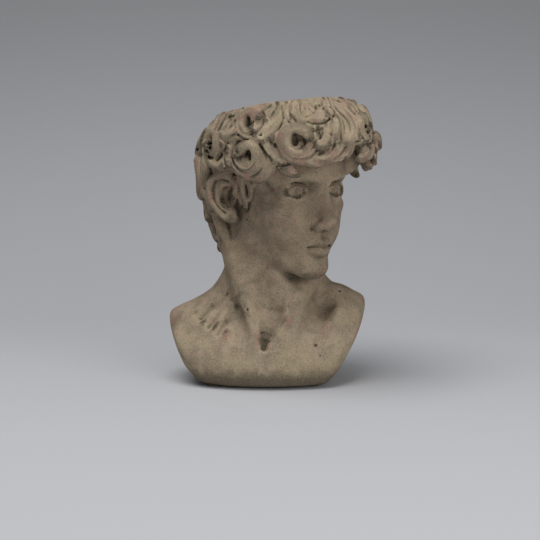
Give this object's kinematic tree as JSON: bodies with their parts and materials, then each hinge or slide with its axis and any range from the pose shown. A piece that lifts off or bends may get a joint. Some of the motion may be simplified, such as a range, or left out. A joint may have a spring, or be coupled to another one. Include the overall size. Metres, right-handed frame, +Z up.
{
  "type": "statue planter",
  "caption": "Open-crowned cast cement planter shaped as a classical bust of a curly-haired youth with turned head, with a lined drain, a pull-out plug and foot pads.",
  "frame": {"origin": "on the ground under the middle of the planter's box", "axes": "+Z up; the chest faces -Y; the figure's left is +X, the side that its head turns to"},
  "size_m": [0.2416, 0.2212, 0.3287],
  "materials": {
    "cement": "matte aged cement, dark in the hollows, pink-brown tints on raised spots",
    "sleeve_plastic": "matte grey",
    "plug_rubber": "matte black",
    "pad_felt": "brown felt"
  },
  "bodies": {
    "planter": {"bust_shell": "cement", "drain_sleeve": "sleeve_plastic", "foot_pad_front_right": "pad_felt", "foot_pad_front_left": "pad_felt", "foot_pad_back_right": "pad_felt", "foot_pad_back_left": "pad_felt"},
    "plug": {"drain_plug": "plug_rubber"}
  },
  "joints": [
    {"name": "plug_pull", "type": "slide", "parent": "planter", "child": "plug", "axis": [0, 0, -1], "range_m": [0, 0.025]}
  ]
}
